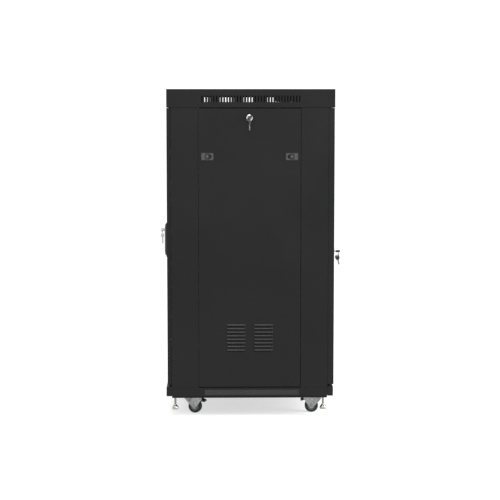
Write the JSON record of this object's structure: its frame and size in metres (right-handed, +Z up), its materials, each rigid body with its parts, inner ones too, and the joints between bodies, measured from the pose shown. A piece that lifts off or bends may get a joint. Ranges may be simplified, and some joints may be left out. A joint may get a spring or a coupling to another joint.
{
  "type": "network server rack cabinet",
  "caption": "Floor-standing enclosed 19-inch network cabinet with glass front door, steel rear door, lift-off side panels, roof fans, castors and levelling feet.",
  "frame": {"origin": "on the floor under the middle of the cabinet", "axes": "+Z up; -Y out of the front door; +X towards the side where both doors have their locks"},
  "size_m": [0.645, 0.647, 1.183],
  "materials": {
    "powder_coat": "fine-textured black powder coat",
    "zinc_plate": "bright zinc plate",
    "chrome": "polished chrome",
    "black_plastic": "moulded black plastic",
    "tinted_glass": "grey-tinted tempered glass",
    "rubber": "matt black wheel"
  },
  "bodies": {
    "cabinet": {"front_frame": "powder_coat", "rear_frame": "powder_coat", "roof_cover": "powder_coat", "roof_cable_cover": "powder_coat", "base_tray": "powder_coat", "base_cable_cover": "powder_coat", "front_rack_rail_right": "zinc_plate", "rear_rack_rail_right": "zinc_plate", "front_rack_rail_left": "zinc_plate", "rear_rack_rail_left": "zinc_plate", "upper_depth_rail_right": "powder_coat", "lower_depth_rail_right": "powder_coat", "upper_depth_rail_left": "powder_coat", "lower_depth_rail_left": "powder_coat", "fan_housing_right": "black_plastic", "fan_housing_left": "black_plastic", "castor_plate_front_right": "zinc_plate", "castor_plate_rear_right": "zinc_plate", "castor_plate_front_left": "zinc_plate", "castor_plate_rear_left": "zinc_plate"},
    "front_door": {"front_door_frame": "powder_coat", "front_door_glass": "tinted_glass", "front_handle_base": "black_plastic"},
    "handle_spindle": {"front_handle_spindle": "zinc_plate"},
    "handle_lever": {"front_handle_lever": "chrome"},
    "front_key": {"front_door_key": "chrome"},
    "rear_door": {"rear_door_panel": "powder_coat", "rear_lock_barrel": "chrome"},
    "rear_lock": {"rear_lock_cam": "zinc_plate", "rear_lock_key": "black_plastic"},
    "side_panel_right": {"side_panel_right": "powder_coat", "side_lock_barrel_right": "chrome"},
    "side_lock_right": {"side_lock_cam_right": "zinc_plate", "side_lock_key_right": "black_plastic"},
    "slide_latch_front_right": {"slide_latch_front_right": "zinc_plate"},
    "slide_latch_rear_right": {"slide_latch_rear_right": "zinc_plate"},
    "side_panel_left": {"side_panel_left": "powder_coat", "side_lock_barrel_left": "chrome"},
    "side_lock_left": {"side_lock_cam_left": "zinc_plate", "side_lock_key_left": "black_plastic"},
    "slide_latch_front_left": {"slide_latch_front_left": "zinc_plate"},
    "slide_latch_rear_left": {"slide_latch_rear_left": "zinc_plate"},
    "castor_front_right": {"castor_fork_front_right": "zinc_plate"},
    "wheel_front_right": {"castor_wheel_front_right": "rubber"},
    "pedal_front_right": {"brake_pedal_front_right": "black_plastic"},
    "castor_rear_right": {"castor_fork_rear_right": "zinc_plate"},
    "wheel_rear_right": {"castor_wheel_rear_right": "rubber"},
    "pedal_rear_right": {"brake_pedal_rear_right": "black_plastic"},
    "castor_front_left": {"castor_fork_front_left": "zinc_plate"},
    "wheel_front_left": {"castor_wheel_front_left": "rubber"},
    "pedal_front_left": {"brake_pedal_front_left": "black_plastic"},
    "castor_rear_left": {"castor_fork_rear_left": "zinc_plate"},
    "wheel_rear_left": {"castor_wheel_rear_left": "rubber"},
    "pedal_rear_left": {"brake_pedal_rear_left": "black_plastic"},
    "foot_front_right": {"levelling_foot_front_right": "zinc_plate"},
    "foot_rear_right": {"levelling_foot_rear_right": "zinc_plate"},
    "foot_front_left": {"levelling_foot_front_left": "zinc_plate"},
    "foot_rear_left": {"levelling_foot_rear_left": "zinc_plate"},
    "fan_rotor_right": {"fan_rotor_right": "black_plastic"},
    "fan_rotor_left": {"fan_rotor_left": "black_plastic"}
  },
  "joints": [
    {"name": "front_door_swing", "type": "hinge", "parent": "cabinet", "child": "front_door", "pos_m": [-0.291, -0.2913, 0.617], "axis": [0, 0, -1], "range_deg": [0, 105]},
    {"name": "handle_turn", "type": "hinge", "parent": "front_door", "child": "handle_spindle", "pos_m": [0.262, -0.303, 0.60175], "axis": [0, -1, 0], "range_deg": [0, 90]},
    {"name": "handle_lift", "type": "hinge", "parent": "handle_spindle", "child": "handle_lever", "pos_m": [0.262, -0.3038, 0.58975], "axis": [1, 0, 0], "range_deg": [0, 40]},
    {"name": "front_key_turn", "type": "hinge", "parent": "handle_lever", "child": "front_key", "pos_m": [0.262, -0.309, 0.68], "axis": [0, 1, 0], "range_deg": [0, 90]},
    {"name": "rear_door_swing", "type": "hinge", "parent": "cabinet", "child": "rear_door", "pos_m": [-0.291, 0.2831, 0.617], "axis": [0, 0, 1], "range_deg": [0, 105]},
    {"name": "rear_lock_turn", "type": "hinge", "parent": "rear_door", "child": "rear_lock", "pos_m": [0.262, 0.299, 0.6015], "axis": [0, 1, 0], "range_deg": [0, 90]},
    {"name": "side_panel_tilt_right", "type": "hinge", "parent": "cabinet", "child": "side_panel_right", "pos_m": [0.297, -0.0045, 0.114], "axis": [0, 1, 0], "range_deg": [0, 25]},
    {"name": "side_lock_turn_right", "type": "hinge", "parent": "side_panel_right", "child": "side_lock_right", "pos_m": [0.298, -0.0045, 1.081], "axis": [1, 0, 0], "range_deg": [0, 90]},
    {"name": "slide_latch_front_right_slide", "type": "slide", "parent": "side_panel_right", "child": "slide_latch_front_right", "axis": [0, 1, 0], "range_m": [0, 0.008], "stiffness_N_per_m": 300, "springref_m": -0.005},
    {"name": "slide_latch_rear_right_slide", "type": "slide", "parent": "side_panel_right", "child": "slide_latch_rear_right", "axis": [0, -1, 0], "range_m": [0, 0.008], "stiffness_N_per_m": 300, "springref_m": -0.005},
    {"name": "side_panel_tilt_left", "type": "hinge", "parent": "cabinet", "child": "side_panel_left", "pos_m": [-0.297, -0.0045, 0.114], "axis": [0, -1, 0], "range_deg": [0, 25]},
    {"name": "side_lock_turn_left", "type": "hinge", "parent": "side_panel_left", "child": "side_lock_left", "pos_m": [-0.298, -0.0045, 1.081], "axis": [-1, 0, 0], "range_deg": [0, 90]},
    {"name": "slide_latch_front_left_slide", "type": "slide", "parent": "side_panel_left", "child": "slide_latch_front_left", "axis": [0, 1, 0], "range_m": [0, 0.008], "stiffness_N_per_m": 300, "springref_m": -0.005},
    {"name": "slide_latch_rear_left_slide", "type": "slide", "parent": "side_panel_left", "child": "slide_latch_rear_left", "axis": [0, -1, 0], "range_m": [0, 0.008], "stiffness_N_per_m": 300, "springref_m": -0.005},
    {"name": "castor_swivel_front_right", "type": "hinge", "parent": "cabinet", "child": "castor_front_right", "pos_m": [0.2, -0.219, 0.06], "axis": [0, 0, 1], "continuous": true},
    {"name": "wheel_roll_front_right", "type": "hinge", "parent": "castor_front_right", "child": "wheel_front_right", "pos_m": [0.20525, -0.20283, 0.02469], "axis": [-0.9511, 0.309, 0], "continuous": true},
    {"name": "brake_pedal_press_front_right", "type": "hinge", "parent": "castor_front_right", "child": "pedal_front_right", "pos_m": [0.21051, -0.18666, 0.051], "axis": [0.9511, -0.309, 0], "range_deg": [0, 18]},
    {"name": "castor_swivel_rear_right", "type": "hinge", "parent": "cabinet", "child": "castor_rear_right", "pos_m": [0.2, 0.242, 0.06], "axis": [0, 0, 1], "continuous": true},
    {"name": "wheel_roll_rear_right", "type": "hinge", "parent": "castor_rear_right", "child": "wheel_rear_right", "pos_m": [0.19941, 0.22501, 0.02469], "axis": [0.9994, -0.0349, 0], "continuous": true},
    {"name": "brake_pedal_press_rear_right", "type": "hinge", "parent": "castor_rear_right", "child": "pedal_rear_right", "pos_m": [0.19881, 0.20802, 0.051], "axis": [-0.9994, 0.0349, 0], "range_deg": [0, 18]},
    {"name": "castor_swivel_front_left", "type": "hinge", "parent": "cabinet", "child": "castor_front_left", "pos_m": [-0.2, -0.219, 0.06], "axis": [0, 0, 1], "continuous": true},
    {"name": "wheel_roll_front_left", "type": "hinge", "parent": "castor_front_left", "child": "wheel_front_left", "pos_m": [-0.20295, -0.20226, 0.02469], "axis": [-0.9848, -0.1736, 0], "continuous": true},
    {"name": "brake_pedal_press_front_left", "type": "hinge", "parent": "castor_front_left", "child": "pedal_front_left", "pos_m": [-0.2059, -0.18552, 0.051], "axis": [0.9848, 0.1736, 0], "range_deg": [0, 18]},
    {"name": "castor_swivel_rear_left", "type": "hinge", "parent": "cabinet", "child": "castor_rear_left", "pos_m": [-0.2, 0.242, 0.06], "axis": [0, 0, 1], "continuous": true},
    {"name": "wheel_roll_rear_left", "type": "hinge", "parent": "castor_rear_left", "child": "wheel_rear_left", "pos_m": [-0.19281, 0.22659, 0.02469], "axis": [0.9063, 0.4226, 0], "continuous": true},
    {"name": "brake_pedal_press_rear_left", "type": "hinge", "parent": "castor_rear_left", "child": "pedal_rear_left", "pos_m": [-0.18563, 0.21119, 0.051], "axis": [-0.9063, -0.4226, 0], "range_deg": [0, 18]},
    {"name": "foot_screw_front_right", "type": "slide", "parent": "cabinet", "child": "foot_front_right", "axis": [0, 0, 1], "range_m": [-0.03, 0.012]},
    {"name": "foot_screw_rear_right", "type": "slide", "parent": "cabinet", "child": "foot_rear_right", "axis": [0, 0, 1], "range_m": [-0.03, 0.012]},
    {"name": "foot_screw_front_left", "type": "slide", "parent": "cabinet", "child": "foot_front_left", "axis": [0, 0, 1], "range_m": [-0.03, 0.012]},
    {"name": "foot_screw_rear_left", "type": "slide", "parent": "cabinet", "child": "foot_rear_left", "axis": [0, 0, 1], "range_m": [-0.03, 0.012]},
    {"name": "fan_spin_right", "type": "hinge", "parent": "cabinet", "child": "fan_rotor_right", "pos_m": [0.085, 0.155, 1.16], "axis": [0, 0, 1], "continuous": true},
    {"name": "fan_spin_left", "type": "hinge", "parent": "cabinet", "child": "fan_rotor_left", "pos_m": [-0.085, 0.155, 1.16], "axis": [0, 0, 1], "continuous": true}
  ]
}
